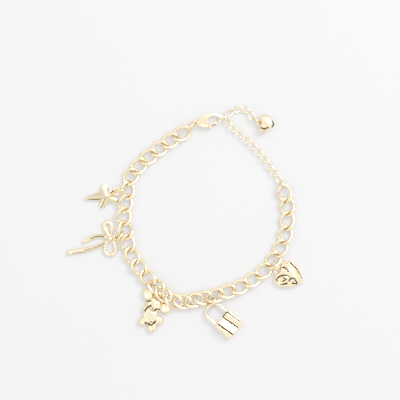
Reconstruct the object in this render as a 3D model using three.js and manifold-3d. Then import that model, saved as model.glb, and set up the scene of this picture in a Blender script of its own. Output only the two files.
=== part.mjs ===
// A gold-coloured charm bracelet, closed and lying on a flat surface, seen from above with +Z up.
// A curb chain of twisted oval links carries a star, a bow, a bear, a padlock and a heart on jump
// rings. A lobster clasp at one end grips a fine extender chain at the other, and the extender's
// spare length ends in a small puffed heart. All lengths are in millimetres.
import * as THREE from "three";
import { mergeVertices } from "three/addons/utils/BufferGeometryUtils.js";
import Module from "manifold-3d";

const wasm = await Module();
wasm.setup();

// Driving dimensions
const clearance = 0.14;
const chain = { length: 7.5, width: 5.6, wire: 1.15, twist: 38, segments: 14, sides: 6 };
const jumpRing = { diameter: 4.6, wire: 0.75, segments: 12, sides: 6 };
const lockRing = { diameter: 4.2, wire: 0.75, segments: 12, sides: 6 };
const smallRing = { diameter: 3.5, wire: 0.7, segments: 12, sides: 6 };
const dropRing = { diameter: 3.0, wire: 0.6, segments: 12, sides: 5 };
const eye = { diameter: 2.9, wire: 0.62, height: 1.15 };
const extender = { length: 4.1, width: 2.5, wire: 0.58, twist: 50, roll: 20, bite: 0.18, segments: 12, sides: 5 };
const clasp = {
  length: 10.6, width: 4.9, thickness: 2.4, tipThickness: 0.6, taperEnd: 1.3, ease: 0.45,
  neck: 0.75, neckStart: 1.1, rim: 1.15, opening: 4.3, openingWidth: 2.5, openingSide: 0.12,
  wall: 0.4, hookReach: 0.9, mouthEdge: 0.4, pin: 0.8, pinInset: 0.15, hub: 1.0, slotGap: 0.17,
  pivotBack: 0.95, pivotSide: 1.05, hookBack: 0.3, meeting: 0.1,
};
const lever = {
  width: 0.95, thickness: 1.5, tongue: 0.9, heel: 0.35, tipGap: 0.5,
  heelSide: 1.8, bellySide: 1.95, tipSide: 1.25, tail: 0.8, knob: 1.0, knobLength: 1.1, knobSide: 2.3,
};
const star = { span: 15.2, thickness: 2.4, edge: 0.9, lift: 0.4, waist: 2.6, arm: 2.2, tip: 0.75, seat: 0.45 };
const bow = { span: 14.4, ribbon: 1.35, thickness: 1.3, knot: 2.3, knotRise: 0.9, seat: 0.3 };
const bear = { height: 14.6, thickness: 2.8, crown: 52, seat: 1.0 };
const padlock = {
  width: 7.6, height: 7.2, thickness: 2.4, corner: 0.8, ease: 0.35,
  shackle: 1.0, level: 1.5, bow: 6.9, reach: 3.0, hold: 35, sunk: 1.0,
  band: 0.4, margin: 0.5, skew: 6,
};
const heart = { length: 10.2, width: 9.8, thickness: 1.5, ease: 0.25, edge: 0.5, rim: 0.85, relief: 0.5, seat: 0.35 };
const endHeart = { length: 5.6, width: 6.7, thickness: 3.6, eye: 2.0, eyeWire: 0.5, drop: 0.4, seat: 0.25, turn: -8 };

// The chosen points of the two chains' routes, in plan
const chainRoute = [
  [-1.2, 30.0], [-6.0, 26.8], [-14.0, 20.7], [-17.4, 17.2], [-20.0, 13.0], [-21.4, 3.9], [-20.9, -6.0],
  [-18.0, -14.5], [-14.7, -18.6], [-8.6, -25.1], [-2.8, -28.3], [1.6, -29.3], [6.5, -28.8],
  [15.7, -25.4], [24.3, -20.7], [31.4, -14.1], [35.0, -5.2], [35.7, 4.8], [34.7, 9.2],
];
const extenderRoute = [
  [32.9, 13.9], [30.5, 17.2], [26.1, 23.1], [20.8, 28.4], [17.2, 31.4], [15.2, 33.4],
];
const tailRoute = [[15.9, 37.5], [19.1, 38.5], [21.6, 38.0], [23.3, 35.9]];

// How closely the links lie along the route, as shares of the route and of the taut spacing
const spacing = [
  { until: 0.475, spread: 0.95 },
  { until: 0.62, spread: 0.7 },
  { until: 1, spread: 1 },
];
// Links that lie rolled over on their long axis and turned in plan, by their place on the route
const rolled = [
  { near: 0.173, roll: 30, yaw: 0 }, { near: 0.207, roll: -42, yaw: 0 }, { near: 0.32, roll: -20, yaw: 0 },
  { near: 0.36, roll: 45, yaw: 0 }, { near: 0.42, roll: 35, yaw: 0 }, { near: 0.455, roll: 40, yaw: 0 },
  { near: 0.488, roll: -40, yaw: 0 }, { near: 0.53, roll: 40, yaw: 80 }, { near: 0.56, roll: 40, yaw: 80 },
  { near: 0.585, roll: 40, yaw: 80 }, { near: 0.63, roll: -40, yaw: 0 }, { near: 0.72, roll: 40, yaw: 0 },
  { near: 0.8, roll: -25, yaw: 0 },
];

// What hangs where: the place on the route, the way from the link to the charm, and its own turn
const hung = {
  star: { near: 0.207, way: 188, inset: 0.45, turn: 0 },
  bow: { near: 0.311, way: 225, inset: 0.9, turn: 0 },
  bear: { near: 0.484, way: 286, inset: 0.7, turn: 0 },
  padlock: { near: 0.636, way: 268, inset: -0.3, turn: -41 },
  heart: { near: 0.81, way: 296, inset: 0.3, turn: -27 },
};
const claspPlace = { at: [2.8, 33.1], turn: 13.3 };
const ringPlace = { intoExtender: 0.9, height: 1.2, intoTail: 0.95, dropHeight: 1.3, dropWay: -42 };

const { Vector2, Vector3, Quaternion, Matrix4 } = THREE;
const degrees = Math.PI / 180;
const up = new Vector3(0, 0, 1);
const ahead = new Vector3(1, 0, 0);

// Solids and their joins

function shared(geometry) {
  const shell = geometry.clone();
  shell.deleteAttribute("normal");
  shell.deleteAttribute("uv");
  return mergeVertices(shell, 1e-4);
}

function solid(geometry) {
  const shell = shared(geometry);
  const vertProperties = Float32Array.from(shell.attributes.position.array);
  const triVerts = Uint32Array.from(shell.index.array);
  return new wasm.Manifold(new wasm.Mesh({ numProp: 3, vertProperties, triVerts }));
}

function geometryOf(manifold) {
  const { vertProperties, triVerts } = manifold.getMesh();
  const geometry = new THREE.BufferGeometry();
  geometry.setAttribute("position", new THREE.BufferAttribute(Float32Array.from(vertProperties), 3));
  geometry.setIndex(Array.from(triVerts));
  return geometry;
}

function joined(geometries) {
  return geometries.map(solid).reduce((whole, next) => whole.add(next));
}

function onTable(manifold) {
  return manifold.trimByPlane([0, 0, 1], 0);
}

// Curves and simple forms

class TwistedOval extends THREE.Curve {
  constructor({ length, width, wire, twist = 0 }) {
    super();
    this.halfLength = (length - wire) / 2;
    this.halfWidth = (width - wire) / 2;
    this.twist = twist * degrees;
  }
  getPoint(t, target = new Vector3()) {
    const along = Math.cos(2 * Math.PI * t);
    const across = this.halfWidth * Math.sin(2 * Math.PI * t);
    const roll = this.twist * along;
    return target.set(this.halfLength * along, across * Math.cos(roll), across * Math.sin(roll));
  }
}

function ovalOf(size) {
  return new TwistedOval(size.length ? size : { ...size, length: size.diameter, width: size.diameter });
}

function wireLoop(size) {
  return new THREE.TubeGeometry(ovalOf(size), size.segments, size.wire / 2, size.sides, true);
}

function flatEye(diameter, wire, height) {
  return new THREE.TorusGeometry((diameter - wire) / 2, wire / 2, 6, 12).translate(0, 0, height);
}

function rod(path, radius, steps, sides) {
  const section = new THREE.Shape().absarc(0, 0, radius, 0, 2 * Math.PI);
  return new THREE.ExtrudeGeometry(section, { extrudePath: path, steps, curveSegments: sides });
}

function smooth(points, z = 0) {
  const path = new THREE.CatmullRomCurve3(points.map(([x, y]) => new Vector3(x, y, z)), false, "centripetal");
  path.arcLengthDivisions = 1000;
  return path;
}

// A plate with its outline in plan, from z = 0 up, its edges eased
function plate(outline, thickness, ease, segments = 6) {
  const options = {
    depth: thickness - 2 * ease, bevelEnabled: ease > 0, bevelThickness: ease, bevelSize: ease,
    bevelOffset: -ease, bevelSegments: 2, curveSegments: segments,
  };
  return new THREE.ExtrudeGeometry(outline, options).translate(0, 0, ease);
}

function ball(x, y, radius, thickness) {
  const geometry = new THREE.SphereGeometry(1, 10, 7).rotateX(Math.PI / 2);
  return geometry.scale(radius, radius, thickness * 0.6).translate(x, y, thickness * 0.4);
}

function block(x0, y0, x1, y1, thickness) {
  return new THREE.BoxGeometry(x1 - x0, y1 - y0, thickness).translate((x0 + x1) / 2, (y0 + y1) / 2, 0);
}

// Wire loops that are laid down, then moved and turned by small steps until none cuts another

const samples = 40;
const turnEase = 6;
const settleSteps = 400;
const sweeps = 3;

class LaidLoop {
  constructor(name, size, position, turn, aim = turn) {
    this.name = name;
    this.size = size;
    this.radius = size.wire / 2;
    this.reach = Math.max(size.length ?? size.diameter, size.width ?? 0) / 2;
    this.local = ovalOf(size).getSpacedPoints(samples).slice(1);
    this.position = position;
    this.turn = turn;
    this.rest = { position: position.clone(), turn: aim.clone() };
    this.grow(1);
  }
  grow(share) {
    this.points = this.local.map((p) => {
      const grown = p.clone().multiplyScalar(share);
      return grown.applyQuaternion(this.turn).add(this.position);
    });
  }
  push(point, move) {
    const arm = point.clone().sub(this.position);
    const spin = arm.cross(move).divideScalar(turnEase);
    const angle = spin.length();
    this.position.add(move);
    if (angle === 0) return;
    const step = new Quaternion().setFromAxisAngle(spin.divideScalar(angle), angle);
    this.turn.premultiply(step).normalize();
  }
  ease(point, way) {
    return 1 + point.clone().sub(this.position).cross(way).lengthSq() / turnEase;
  }
}

function nearest(points, others) {
  let found = { square: Infinity };
  for (const from of points) {
    for (const to of others) {
      const square = from.distanceToSquared(to);
      if (square < found.square) found = { square, from, to };
    }
  }
  return { ...found, gap: Math.sqrt(found.square) };
}

// Moves two loops apart until their wires are clear of each other
function part(a, b, share) {
  if (a.position.distanceTo(b.position) > a.reach + b.reach + clearance) return;
  const { gap, from, to } = nearest(a.points, b.points);
  const short = a.radius + b.radius + clearance - gap;
  if (short <= 0) return;
  const way = from.clone().sub(to).normalize();
  const push = short / (a.ease(from, way) + b.ease(to, way));
  a.push(from, way.clone().multiplyScalar(push));
  b.push(to, way.clone().multiplyScalar(-push));
  a.grow(share);
  b.grow(share);
}

// Moves a loop off the charms and the clasp
function clear(loop, share) {
  const close = loop.nearby.filter((p) => p.distanceToSquared(loop.position) < (loop.reach + 1) ** 2);
  if (!close.length) return;
  const { gap, from, to } = nearest(loop.points, close);
  const short = loop.radius + clearance - gap;
  if (short <= 0) return;
  const way = from.clone().sub(to).normalize();
  loop.push(from, way.multiplyScalar(short / loop.ease(from, way)));
  loop.grow(share);
}

// Lifts a loop onto the surface
function lift(loop, share) {
  const low = loop.points.reduce((a, b) => (a.z < b.z ? a : b));
  const short = loop.radius - low.z;
  if (short <= 0) return;
  loop.push(low, up.clone().multiplyScalar(short / loop.ease(low, up)));
  loop.grow(share);
}

function partAll(loops, share) {
  loops.forEach((a, i) => loops.slice(i + 1).forEach((b) => part(a, b, share)));
}

function settle(loops, fixed) {
  for (const loop of loops) {
    loop.nearby = fixed.filter((p) => p.distanceTo(loop.position) < loop.reach + 2.5);
  }
  for (let step = 0; step < settleSteps; step++) {
    const done = step / settleSteps;
    const share = Math.min(1, 0.93 + 0.2 * done);
    const pull = Math.max(0, 0.06 * (1 - done / 0.85));
    for (const loop of loops) {
      loop.position.lerp(loop.rest.position, pull);
      loop.position.z -= 0.3 * pull;
      loop.turn.slerp(loop.rest.turn, 0.5 * pull);
      loop.grow(share);
    }
    for (let sweep = 0; sweep < sweeps; sweep++) {
      partAll(loops, share);
      for (const loop of loops) {
        clear(loop, share);
        lift(loop, share);
      }
    }
  }
}

// The main chain as laid along its route

const taut = chain.length - 2 * chain.wire - clearance;
const route = smooth(chainRoute);
const routeLength = route.getLength();

function linkStations() {
  const places = [0];
  while (places.at(-1) < routeLength - taut / 2) {
    const share = places.at(-1) / routeLength;
    const { spread } = spacing.find(({ until }) => share < until) ?? spacing.at(-1);
    places.push(places.at(-1) + spread * taut);
  }
  const fit = places.at(-1);
  return places.map((s) => s / fit);
}

const stations = linkStations();

function nearestLink(share) {
  const misses = stations.map((s) => Math.abs(s - share));
  return misses.indexOf(Math.min(...misses));
}

function laidLinks() {
  const leaning = new Map(rolled.map((lean) => [nearestLink(lean.near), lean]));
  return stations.map((s, i) => {
    const { roll, yaw } = leaning.get(i) ?? { roll: 0, yaw: 0 };
    const tangent = route.getTangentAt(s);
    const heading = Math.atan2(tangent.y, tangent.x);
    const turn = new Quaternion().setFromAxisAngle(up, heading);
    const aim = new Quaternion().setFromAxisAngle(up, heading + yaw * degrees);
    aim.multiply(new Quaternion().setFromAxisAngle(ahead, roll * degrees));
    const name = `link_${String(i + 1).padStart(2, "0")}`;
    return new LaidLoop(name, chain, route.getPointAt(s).setZ(chain.wire), turn, aim);
  });
}

// How far apart a standing ring passes through two holes at a height
function span(ring, height) {
  const radius = (ring.diameter - ring.wire) / 2;
  const below = ring.diameter / 2 - height;
  return 2 * Math.sqrt(radius ** 2 - below ** 2);
}

function standingRing(name, size, from, to) {
  const way = new Vector3().subVectors(to, from).setZ(0).normalize();
  const basis = new Matrix4().makeBasis(way, up, way.clone().cross(up));
  const middle = new Vector3().addVectors(from, to).divideScalar(2).setZ(size.diameter / 2);
  return new LaidLoop(name, size, middle, new Quaternion().setFromRotationMatrix(basis));
}

// Where a charm's eye lies, below the link that it hangs from
function hangingPoint({ near, way, inset }, ring, height) {
  const link = route.getPointAt(stations[nearestLink(near)]);
  const out = new Vector3(Math.cos(way * degrees), Math.sin(way * degrees), 0);
  const inLink = link.clone().addScaledVector(out, inset);
  return { inLink, point: inLink.clone().addScaledVector(out, span(ring, height)).setZ(height) };
}

// Charms, each drawn with its eye at the origin and its back at z = 0

const charmEye = () => flatEye(eye.diameter, eye.wire, eye.height);

// Arms by their direction and their reach as a share of the span
const starArms = [
  { angle: 24, reach: 0.205 }, { angle: 100, reach: 0.315 }, { angle: 187, reach: 0.5 },
  { angle: 252, reach: 0.31 }, { angle: 333, reach: 0.32 },
];

function plan(angle, along, across = 0) {
  const c = Math.cos(angle * degrees);
  const s = Math.sin(angle * degrees);
  return new Vector2(along * c - across * s, along * s + across * c);
}

function starRim() {
  return starArms.flatMap(({ angle, reach }, i) => {
    const next = starArms[(i + 1) % starArms.length].angle + (i + 1 === starArms.length ? 360 : 0);
    const length = reach * star.span;
    const middle = (length + star.waist) / 2;
    const rim = [
      plan(angle, middle, -star.arm / 2),
      plan(angle, length - star.tip / 2, -star.tip / 2),
      plan(angle, length),
      plan(angle, length - star.tip / 2, star.tip / 2),
      plan(angle, middle, star.arm / 2),
      plan((angle + next) / 2, star.waist),
    ];
    const tip = 2;
    return rim.map((p, k) => new Vector3(p.x, p.y, star.edge + (k === tip ? star.lift : 0)));
  });
}

function starSolid() {
  const rim = starRim();
  const positions = [];
  const triangle = (a, b, c) => positions.push(...a.toArray(), ...b.toArray(), ...c.toArray());
  const top = new Vector3(0, 0, star.thickness);
  const bottom = new Vector3();
  rim.forEach((a, i) => {
    const b = rim[(i + 1) % rim.length];
    const underA = a.clone().setZ(0);
    const underB = b.clone().setZ(0);
    triangle(a, b, top);
    triangle(underB, underA, bottom);
    triangle(underA, underB, b);
    triangle(underA, b, a);
  });
  const geometry = new THREE.BufferGeometry();
  geometry.setAttribute("position", new THREE.Float32BufferAttribute(positions, 3));
  const { angle, reach } = starArms[0];
  const back = plan(angle, -(reach * star.span + eye.diameter / 2 - star.seat));
  return joined([geometry.translate(back.x, back.y, 0), charmEye()]);
}

// Strands as shares of the bow's span from its knot, with their widths as shares of the ribbon
const bowStrands = [
  {
    name: "upper loop", width: [0.7, 1.2, 1.1, 0.8, 0.7],
    points: [
      [0, 0], [-0.1, 0.2], [-0.14, 0.32], [-0.09, 0.395], [0, 0.37], [0.05, 0.27], [0.03, 0.12], [0, 0],
    ],
  },
  {
    name: "lower loop", width: [0.7, 0.9, 1, 0.9, 0.7],
    points: [
      [0, 0], [-0.1, -0.14], [-0.13, -0.27], [-0.08, -0.375], [0.03, -0.4], [0.12, -0.33], [0.13, -0.22],
      [0.07, -0.08], [0, 0],
    ],
  },
  {
    name: "upper tail", width: [0.8, 0.9, 1.1, 1.1, 0.8],
    points: [[0, 0], [-0.15, 0.05], [-0.3, 0.06], [-0.48, 0], [-0.68, -0.1]],
  },
  {
    name: "lower tail", width: [0.8, 1.0, 1.15, 1.4, 1.25],
    points: [[0, 0], [-0.14, -0.12], [-0.34, -0.21], [-0.62, -0.28], [-0.97, -0.34]],
  },
];

function valueAlong(values, share) {
  const at = share * (values.length - 1);
  const low = Math.min(Math.floor(at), values.length - 2);
  return THREE.MathUtils.lerp(values[low], values[low + 1], at - low);
}

// A round bar bent along a strand's path, with its width following the strand's own
function strand({ points, width }) {
  const path = smooth(points.map(([x, y]) => [x * bow.span, y * bow.span]));
  const geometry = new THREE.CylinderGeometry(0.5, 0.5, 1, 7, 2 * points.length);
  const position = geometry.attributes.position;
  const p = new Vector3();
  for (let i = 0; i < position.count; i++) {
    p.fromBufferAttribute(position, i);
    const share = THREE.MathUtils.clamp(p.y + 0.5, 0, 1);
    const side = p.x * bow.ribbon * valueAlong(width, share);
    const centre = path.getPointAt(share);
    const tangent = path.getTangentAt(share);
    const height = bow.thickness * (0.5 + p.z);
    position.setXYZ(i, centre.x + tangent.y * side, centre.y - tangent.x * side, height);
  }
  return geometry;
}

function bowSolid() {
  const end = bowStrands.at(-1).points.at(-1);
  const parts = [
    ...bowStrands.map(strand),
    ball(end[0] * bow.span, end[1] * bow.span, bow.ribbon * 0.8, bow.thickness),
    ball(0, 0, bow.knot / 2, bow.thickness + bow.knotRise),
  ];
  const out = bow.knot / 2 + eye.diameter / 2 - bow.seat;
  return onTable(joined([...parts.map((g) => g.translate(-out, 0, 0)), charmEye()]));
}

// Lobes as shares of the bear's height from its head's centre, and how high as a share of its thickness
const bearLobes = [
  { name: "head", at: [0, 0], radius: 0.205, high: 1 },
  { name: "muzzle", at: [-0.035, -0.085], radius: 0.085, high: 1.18 },
  { name: "left ear", at: [-0.145, 0.25], radius: 0.15, high: 0.72 },
  { name: "right ear", at: [0.275, -0.075], radius: 0.15, high: 0.72 },
  { name: "belly", at: [-0.09, -0.265], radius: 0.19, high: 0.98 },
  { name: "left arm", at: [-0.2, -0.09], radius: 0.09, high: 0.72 },
  { name: "right arm", at: [0.12, -0.375], radius: 0.11, high: 0.72 },
  { name: "left leg", at: [-0.275, -0.41], radius: 0.11, high: 0.76 },
  { name: "right leg", at: [-0.05, -0.545], radius: 0.125, high: 0.76 },
];

function bearSolid() {
  const { height, thickness, crown, seat } = bear;
  const hang = plan(crown, -(bearLobes[0].radius * height + eye.diameter / 2 - seat));
  const lobes = bearLobes.map(({ at, radius, high }) =>
    ball(at[0] * height + hang.x, at[1] * height + hang.y, radius * height, thickness * high));
  return onTable(joined([...lobes, charmEye()]));
}

// The shackle's bend has its centre off the ring, which holds it at an angle from its top
function shackleCentre() {
  const radius = (padlock.bow - padlock.shackle) / 2;
  const hold = radius - (padlock.shackle + lockRing.wire) / 2 - clearance;
  return plan(-padlock.hold, hold);
}

function shackleRod() {
  const { shackle, level, reach, sunk } = padlock;
  const radius = (padlock.bow - shackle) / 2;
  const centre = shackleCentre();
  const inBody = centre.x + reach + sunk;
  const turns = 8;
  const bend = Array.from({ length: turns + 1 }, (_, i) => {
    const p = plan(90 + (180 * i) / turns, radius).add(centre);
    return new Vector3(p.x, p.y, level);
  });
  const legs = new THREE.CurvePath();
  legs.add(new THREE.LineCurve3(new Vector3(inBody, centre.y + radius, level), bend[0]));
  legs.add(new THREE.CatmullRomCurve3(bend));
  legs.add(new THREE.LineCurve3(bend.at(-1), new Vector3(inBody, centre.y - radius, level)));
  return rod(legs, shackle / 2, 20, 4);
}

// Raised bands across the padlock's front, from and to as shares of its width
const padlockBands = [
  { from: -0.46, to: -0.305 }, { from: -0.245, to: 0.09 }, { from: 0.15, to: 0.385 },
];

function padlockSolid() {
  const { width, height, thickness, corner, ease, band, margin, skew } = padlock;
  const centre = shackleCentre();
  const half = width / 2;
  const near = -height / 2;
  const far = height / 2;
  const face = new THREE.Shape();
  face.moveTo(near + corner, -half);
  face.lineTo(far - corner, -half).quadraticCurveTo(far, -half, far, -half + corner);
  face.lineTo(far, half - corner).quadraticCurveTo(far, half, far - corner, half);
  face.lineTo(near + corner, half).quadraticCurveTo(near, half, near, half - corner);
  face.lineTo(near, -half + corner).quadraticCurveTo(near, -half, near + corner, -half);
  const bars = padlockBands.map(({ from, to }) => {
    const bar = block(near + margin, from * width, far - margin, to * width, 2 * band);
    return bar.rotateZ(skew * degrees).translate(0, 0, thickness);
  });
  const body = [plate(face, thickness, ease, 2), ...bars];
  body.forEach((g) => g.translate(centre.x + padlock.reach + height / 2, centre.y, 0));
  return joined([...body, shackleRod()]);
}

// A heart in plan, with its cleft near the origin and its tip along X
function heartOutline(length, width, blunt, inset = 0) {
  const x = (share) => inset + share * (length - 2 * inset);
  const y = (share) => share * (width - 2 * inset);
  const shape = new THREE.Shape();
  shape.moveTo(x(0.15), 0);
  shape.bezierCurveTo(x(0.04), -y(0.08), x(-0.06), -y(0.5), x(0.31), -y(0.5));
  shape.bezierCurveTo(x(0.61), -y(0.5), x(blunt), -y(0.15), x(1), 0);
  shape.bezierCurveTo(x(blunt), y(0.15), x(0.61), y(0.5), x(0.31), y(0.5));
  shape.bezierCurveTo(x(-0.06), y(0.5), x(0.04), y(0.08), x(0.15), 0);
  return shape;
}

const cleft = 0.15;
const bluntTip = 0.92;

// Raised scrolls with their centres as shares of the heart's length and width
const heartScrolls = [
  { at: [0.36, 0.2], turn: 60, radius: 1.1, sweep: 250 },
  { at: [0.36, -0.2], turn: -60, radius: 1.1, sweep: -250 },
  { at: [0.62, 0], turn: -110, radius: 0.95, sweep: 220 },
];

function scroll({ at, turn, radius, sweep }) {
  const { length, width, thickness, relief } = heart;
  const arc = new THREE.ArcCurve(0, 0, radius, turn * degrees, (turn + sweep) * degrees, sweep < 0);
  const points = arc.getSpacedPoints(6).map((p) => [p.x + at[0] * length, p.y + at[1] * width]);
  return rod(smooth(points, thickness), relief * 0.7, 7, 3);
}

function heartSolid() {
  const { length, width, thickness, ease, edge, rim, relief, seat } = heart;
  const back = plate(heartOutline(length, width, bluntTip), thickness, ease);
  const border = heartOutline(length, width, bluntTip, edge);
  const inner = heartOutline(length, width, bluntTip, edge + rim).getPoints(6).reverse();
  border.holes.push(new THREE.Path(inner));
  const raised = plate(border, 2 * relief, 0.2).translate(0, 0, thickness - relief);
  const shift = eye.diameter / 2 - seat - cleft * length;
  const pieces = [back, raised, ...heartScrolls.map(scroll)].map((g) => g.translate(shift, 0, 0));
  return joined([...pieces, charmEye()]);
}

// A sphere whose meridians run out to a heart's outline
function puffedHeart(length, width, thickness) {
  const around = 24;
  const rows = 8;
  const outline = heartOutline(length, width, bluntTip);
  const middle = new Vector2(0.42 * length, 0);
  const geometry = new THREE.SphereGeometry(1, around, rows);
  const position = geometry.attributes.position;
  for (let i = 0; i < position.count; i++) {
    const row = Math.floor(i / (around + 1));
    const share = (i % (around + 1)) / around;
    const fall = (Math.PI * row) / rows;
    const p = middle.clone().lerp(outline.getPointAt(share % 1), Math.sin(fall) ** 0.85);
    position.setXYZ(i, p.x, p.y, (thickness / 2) * (1 + Math.cos(fall)));
  }
  return geometry;
}

function endHeartSolid() {
  const { length, width, thickness, eye: across, eyeWire, drop, seat } = endHeart;
  const shift = across / 2 - seat - cleft * length;
  const body = puffedHeart(length, width, thickness).translate(shift, 0, 0);
  return joined([body, flatEye(across, eyeWire, thickness / 2 - drop)]);
}

// The clasp, drawn with its end loop at the origin and its axis along X, centred on z = 0

const opening = {
  start: clasp.length - clasp.rim - clasp.opening,
  middle: clasp.length - clasp.rim - clasp.opening / 2,
  end: clasp.length - clasp.rim,
};
const housing = opening.start - clasp.wall;
const mouthEnd = opening.end - clasp.hookReach;
const pivot = [housing - clasp.pivotBack, -clasp.pivotSide];
const through = 4;

function claspOutline() {
  const { length: l, neck, neckStart: back } = clasp;
  const w = clasp.width / 2;
  const shape = new THREE.Shape();
  shape.moveTo(back, -neck);
  shape.bezierCurveTo(0.23 * l, -neck - 0.3, 0.28 * l, -w, 0.46 * l, -w);
  shape.bezierCurveTo(0.72 * l, -w, l, -w * 0.62, l, -0.1);
  shape.bezierCurveTo(l, w * 0.7, 0.74 * l, w, 0.47 * l, w);
  shape.bezierCurveTo(0.28 * l, w, 0.23 * l, neck + 0.3, back, neck);
  return shape;
}

// Thins what lies past the housing, down to the tip
function taper(geometry) {
  const p = geometry.attributes.position;
  const run = clasp.length - clasp.taperEnd - housing;
  for (let i = 0; i < p.count; i++) {
    const far = THREE.MathUtils.clamp((p.getX(i) - housing) / run, 0, 1);
    p.setZ(i, p.getZ(i) * THREE.MathUtils.lerp(1, clasp.tipThickness / clasp.thickness, far));
  }
  return geometry;
}

function centred(shape, thickness, ease, segments) {
  return plate(shape, thickness, ease, segments).translate(0, 0, -thickness / 2);
}

function onPivot(radius, length, sides) {
  const barrel = new THREE.CylinderGeometry(radius, radius, length, sides).rotateX(Math.PI / 2);
  return barrel.translate(pivot[0], pivot[1], 0);
}

function claspBodySolid() {
  const { thickness, ease, hub, slotGap, pin, pinInset } = clasp;
  const window = new THREE.Shape();
  const reach = [clasp.opening / 2, clasp.openingWidth / 2];
  window.absellipse(opening.middle, clasp.openingSide, ...reach, 0, 2 * Math.PI);
  const slotThickness = lever.tongue + 2 * slotGap;
  const cuts = [
    centred(window, through, 0, 10),
    block(housing, -through, mouthEnd, -clasp.mouthEdge, through),
    onPivot(hub + slotGap, slotThickness, 20),
    block(pivot[0], -through, housing + 1, 0.6, slotThickness),
  ];
  const whole = solid(taper(centred(claspOutline(), thickness, ease, 8)));
  const cast = cuts.reduce((rest, cut) => rest.subtract(solid(cut)), whole);
  const loop = new THREE.TorusGeometry((eye.diameter - eye.wire) / 2, eye.wire / 2, 6, 14);
  return cast.add(solid(onPivot(pin / 2, thickness - 2 * pinInset, 12))).add(solid(loop));
}

function claspLeverSolid() {
  const { width, thickness, tongue, heel, tail, knob, knobLength, knobSide } = lever;
  const tip = mouthEnd - lever.tipGap;
  const start = housing + heel;
  const arm = new THREE.QuadraticBezierCurve3(
    new Vector3(start, -lever.heelSide, 0),
    new Vector3((start + tip) / 2, -lever.bellySide, 0),
    new Vector3(tip, -lever.tipSide, 0));
  const bar = new THREE.Shape();
  bar.moveTo(-thickness / 2, -width / 2).lineTo(thickness / 2, -width / 2);
  bar.lineTo(thickness / 2, width / 2).lineTo(-thickness / 2, width / 2);
  const grip = new THREE.CylinderGeometry(knob / 2, knob / 2, knobLength, 12).rotateX(Math.PI / 2);
  const pieces = [
    taper(new THREE.ExtrudeGeometry(bar, { extrudePath: arm, steps: 8 })),
    onPivot(clasp.hub, tongue, 20),
    block(pivot[0], -lever.bellySide - 0.2, housing + tail, -lever.tipSide, tongue),
    grip.translate(start + knob / 2, -knobSide, 0),
  ];
  return joined(pieces).subtract(solid(onPivot(clasp.pin / 2 + clasp.slotGap, 3, 12)));
}

// The extender: small links laid along two stretches that meet in the link on the clasp's hook

const smallReach = (extender.length - extender.wire) / 2;

function smallLink(length, twist, roll, place, heading) {
  const link = wireLoop({ ...extender, length, twist });
  return link.rotateX(roll * degrees).rotateZ(heading).translate(place.x, place.y, extender.width / 2);
}

// Links along a stretch, from a first centre to a last one, the free ends left flat
function runOfLinks(points, before, after) {
  const { wire, bite, twist, roll } = extender;
  const path = smooth(points);
  const whole = path.getLength();
  const run = whole - before - after;
  const gaps = Math.max(1, Math.round(run / (extender.length - 2 * wire + bite)));
  const length = run / gaps + 2 * wire - bite;
  return Array.from({ length: gaps + 1 }, (_, i) => {
    const share = THREE.MathUtils.clamp((before + (run * i) / gaps) / whole, 0, 1);
    const tangent = path.getTangentAt(share);
    const heading = Math.atan2(tangent.y, tangent.x);
    const free = (i === 0 && before === 0) || (i === gaps && after === 0);
    return smallLink(length, free ? 0 : twist, free ? 0 : roll, path.getPointAt(share), heading);
  });
}

function extenderSolid() {
  const way = plan(claspPlace.turn, 1);
  const hook = new Vector2(...claspPlace.at).addScaledVector(way, clasp.length - clasp.hookBack);
  const hooked = smallLink(extender.length, 0, 90, hook, claspPlace.turn * degrees);
  const meeting = hook.clone().addScaledVector(way, smallReach - clasp.meeting);
  const at = meeting.toArray();
  return joined([
    ...runOfLinks([...extenderRoute, at], 0, smallReach),
    hooked,
    ...runOfLinks([at, ...tailRoute], smallReach, 0),
  ]);
}

// The whole bracelet: what is fixed, and the loops that settle round it

function placed(manifold, x, y, z, turn = 0) {
  return manifold.rotate([0, 0, turn]).translate([x, y, z]);
}

const charms = [
  { name: "star", make: starSolid, ring: lockRing, height: eye.height },
  { name: "bow", make: bowSolid, ring: jumpRing, height: eye.height },
  { name: "bear", make: bearSolid, ring: smallRing, height: eye.height },
  { name: "padlock", make: padlockSolid, ring: lockRing, height: padlock.level },
  { name: "heart", make: heartSolid, ring: jumpRing, height: eye.height },
];

function hangCharms(loops, fixed) {
  for (const { name, make, ring, height } of charms) {
    const place = hung[name];
    const { inLink, point } = hangingPoint(place, ring, height);
    fixed.push({ name, manifold: placed(make(), point.x, point.y, 0, place.turn) });
    loops.push(standingRing(name + "_ring", ring, inLink, point));
  }
}

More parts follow.
